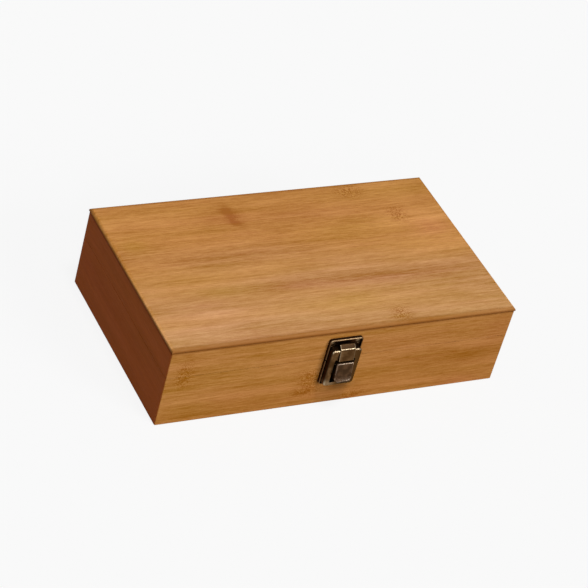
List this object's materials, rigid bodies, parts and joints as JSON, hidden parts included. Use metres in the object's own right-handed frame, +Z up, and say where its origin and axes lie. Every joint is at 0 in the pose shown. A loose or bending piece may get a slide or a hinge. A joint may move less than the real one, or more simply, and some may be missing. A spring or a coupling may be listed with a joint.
{
  "type": "wooden box with draw latch",
  "caption": "Low rectangular wooden case with a lift-up hinged lid, held shut at the front by a toggle draw latch.",
  "frame": {"origin": "middle of the flat underside that the box stands on", "axes": "+Z up, +X along the length to the right seen from the front, -Y towards the front with the latch, +Y towards the hinges"},
  "size_m": [0.2406, 0.152, 0.06],
  "materials": {
    "case_bamboo": "satin clear varnish over strip bamboo",
    "panel_bamboo": "satin clear varnish over strip bamboo",
    "antique_bronze": "antique bronze plated sheet steel, darkened, worn bright on edges",
    "screw_bronze": "antique bronze plated steel",
    "pin_steel": "darkened steel wire"
  },
  "bodies": {
    "base": {"base_front_board": "case_bamboo", "base_right_board": "case_bamboo", "base_back_board": "case_bamboo", "base_left_board": "case_bamboo", "base_bottom_panel": "panel_bamboo", "latch_base_plate": "antique_bronze", "latch_base_screw_left": "screw_bronze", "latch_base_screw_right": "screw_bronze", "lever_pin": "pin_steel", "hinge_left_base_leaf": "antique_bronze", "hinge_left_pin": "pin_steel", "hinge_left_base_screw_left": "screw_bronze", "hinge_left_base_screw_right": "screw_bronze", "hinge_right_base_leaf": "antique_bronze", "hinge_right_pin": "pin_steel", "hinge_right_base_screw_left": "screw_bronze", "hinge_right_base_screw_right": "screw_bronze"},
    "lid": {"lid_front_board": "case_bamboo", "lid_right_board": "case_bamboo", "lid_back_board": "case_bamboo", "lid_left_board": "case_bamboo", "lid_top_panel": "panel_bamboo", "catch_plate": "antique_bronze", "catch_screw_left": "screw_bronze", "catch_screw_right": "screw_bronze", "hinge_left_lid_leaf": "antique_bronze", "hinge_left_lid_screw_left": "screw_bronze", "hinge_left_lid_screw_right": "screw_bronze", "hinge_right_lid_leaf": "antique_bronze", "hinge_right_lid_screw_left": "screw_bronze", "hinge_right_lid_screw_right": "screw_bronze"},
    "lever": {"latch_lever": "antique_bronze", "link_pin": "pin_steel"},
    "link": {"latch_link": "antique_bronze"}
  },
  "joints": [
    {"name": "lid_hinge", "type": "hinge", "parent": "base", "child": "lid", "pos_m": [0, 0.0707, 0.0375], "axis": [-1, 0, 0], "range_deg": [0, 180]},
    {"name": "lever_lift", "type": "hinge", "parent": "base", "child": "lever", "pos_m": [-0.0013, -0.0742, 0.0366], "axis": [-1, 0, 0], "range_deg": [0, 110]},
    {"name": "link_swing", "type": "hinge", "parent": "lever", "child": "link", "pos_m": [-0.0013, -0.073, 0.0324], "axis": [-1, 0, 0], "range_deg": [-110, 0]}
  ],
  "couplings": [
    {"joint": "link_swing", "follows": "lever_lift", "ratio": -1}
  ]
}
